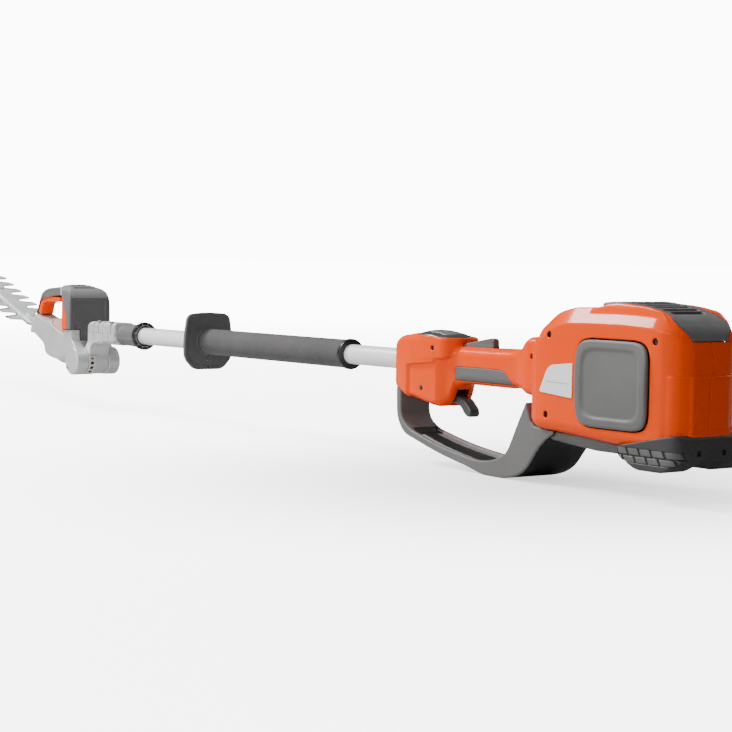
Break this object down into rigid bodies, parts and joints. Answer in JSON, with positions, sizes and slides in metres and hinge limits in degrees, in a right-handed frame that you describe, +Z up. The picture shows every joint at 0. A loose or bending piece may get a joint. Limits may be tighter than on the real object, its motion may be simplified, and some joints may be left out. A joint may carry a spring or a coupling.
{
  "type": "pole hedge trimmer",
  "caption": "Pole hedge trimmer: rear battery housing with grip and loop guard, straight tube with foam sleeve, and a motor head with a double-sided cutter that tilts on a locking pivot.",
  "frame": {"origin": "bottom centre of the bounding box, on the flat bottom of the loop guard", "axes": "+X runs forward along the tube to the cutter, +Y to the left of someone holding it, +Z up"},
  "size_m": [2.054, 0.111, 0.3272],
  "materials": {
    "orange": "glossy orange moulded nylon",
    "grey": "fine textured mid grey moulded plastic",
    "dark": "fine textured dark grey moulded plastic",
    "black": "black moulded plastic",
    "cable": "black cable sheath",
    "foam": "matt grey closed-cell foam",
    "tube_paint": "pale grey satin paint",
    "cast": "satin die-cast aluminium",
    "steel": "ground steel",
    "label": "blank white plate",
    "board": "green circuit board",
    "copper": "wound stator, stands for copper wire on iron"
  },
  "bodies": {
    "chassis": {"handle_left": "orange", "handle_right": "orange", "grip_inlay_left": "grey", "grip_inlay_right": "grey", "keypad": "dark", "keypad_board": "board", "trigger_pin": "steel", "trigger_spring": "steel", "trigger_switch": "black", "lockout_pin": "steel", "body_left": "orange", "body_right": "orange", "side_cover_left": "grey", "side_cover_right": "grey", "name_plate": "label", "control_board": "board", "bottom_plate": "dark", "terminal_block": "black", "loop_guard": "grey", "rear_foot": "dark", "tube": "tube_paint", "tube_cable": "cable", "foam_sleeve": "foam", "sleeve_end_ring": "black", "hand_stop": "dark", "collar_ring": "black", "tube_adapter": "grey", "clamp_upper": "cast", "clamp_lower": "cast", "clamp_screw_rear": "steel", "clamp_screw_front": "steel", "index_strap": "steel", "pivot_pin": "steel"},
    "battery": {"battery": "dark"},
    "latch_left": {"battery_latch_left": "grey"},
    "latch_right": {"battery_latch_right": "grey"},
    "trigger": {"trigger": "black"},
    "lockout": {"lockout_lever": "grey"},
    "power_button": {"power_button": "grey"},
    "boost_button": {"boost_button": "grey"},
    "head": {"gear_case": "cast", "gear_lid": "cast", "motor_stator": "copper", "crank_bearing": "steel", "guide_bar": "steel", "tip_guard": "dark", "motor_cover": "dark", "head_shell": "grey", "handle_liner": "orange", "lever_pin": "steel"},
    "tilt_lever": {"tilt_lever": "orange"},
    "lock_pin": {"lock_pin": "steel"},
    "rotor": {"motor_rotor": "steel"},
    "crank": {"crank_gear": "steel"},
    "upper_blade": {"upper_blade": "steel"},
    "lower_blade": {"lower_blade": "steel"}
  },
  "joints": [
    {"name": "head_tilt", "type": "hinge", "parent": "chassis", "child": "head", "pos_m": [0.2789, 0, 0.076], "axis": [0, -1, 0], "range_deg": [-193, 15]},
    {"name": "upper_blade_slide", "type": "slide", "parent": "head", "child": "upper_blade", "axis": [0.9432, 0, 0.3322], "range_m": [-0.008, 0.008]},
    {"name": "lower_blade_slide", "type": "slide", "parent": "head", "child": "lower_blade", "axis": [0.9432, 0, 0.3322], "range_m": [-0.008, 0.008]},
    {"name": "crank_spin", "type": "hinge", "parent": "head", "child": "crank", "pos_m": [0.36001, 0, 0.10457], "axis": [-0.3322, 0, 0.9432], "continuous": true},
    {"name": "rotor_spin", "type": "hinge", "parent": "head", "child": "rotor", "pos_m": [0.33738, 0, 0.09659], "axis": [-0.3322, 0, 0.9432], "continuous": true},
    {"name": "tilt_lever_squeeze", "type": "hinge", "parent": "head", "child": "tilt_lever", "pos_m": [0.4234, 0, 0.1695], "axis": [0, 1, 0], "range_deg": [0, 4], "stiffness_Nm_per_rad": 4, "springref_deg": -3.44},
    {"name": "lock_pin_slide", "type": "slide", "parent": "head", "child": "lock_pin", "axis": [0.9432, 0, 0.3322], "range_m": [0, 0.004]},
    {"name": "trigger_squeeze", "type": "hinge", "parent": "chassis", "child": "trigger", "pos_m": [-0.6161, 0, 0.088], "axis": [0, 1, 0], "range_deg": [0, 20], "stiffness_Nm_per_rad": 0.4, "springref_deg": -14.32},
    {"name": "lockout_press", "type": "hinge", "parent": "chassis", "child": "lockout", "pos_m": [-0.6421, 0, 0.136], "axis": [0, -1, 0], "range_deg": [0, 10], "stiffness_Nm_per_rad": 0.4, "springref_deg": -11.46},
    {"name": "power_button_press", "type": "slide", "parent": "chassis", "child": "power_button", "axis": [0, 0, -1], "range_m": [0, 0.0012], "stiffness_N_per_m": 900, "springref_m": -0.001},
    {"name": "boost_button_press", "type": "slide", "parent": "chassis", "child": "boost_button", "axis": [0, 0, -1], "range_m": [0, 0.0012], "stiffness_N_per_m": 900, "springref_m": -0.001},
    {"name": "battery_lift", "type": "slide", "parent": "chassis", "child": "battery", "axis": [0, 0, 1], "range_m": [0, 0.13]},
    {"name": "latch_left_press", "type": "slide", "parent": "battery", "child": "latch_left", "axis": [0, -1, 0], "range_m": [0, 0.003], "stiffness_N_per_m": 900, "springref_m": -0.002},
    {"name": "latch_right_press", "type": "slide", "parent": "battery", "child": "latch_right", "axis": [0, 1, 0], "range_m": [0, 0.003], "stiffness_N_per_m": 900, "springref_m": -0.002}
  ],
  "couplings": [
    {"joint": "lower_blade_slide", "follows": "upper_blade_slide", "ratio": -1},
    {"joint": "rotor_spin", "follows": "crank_spin", "ratio": -4},
    {"joint": "lock_pin_slide", "follows": "tilt_lever_squeeze", "m_per_rad": 0.0501}
  ]
}
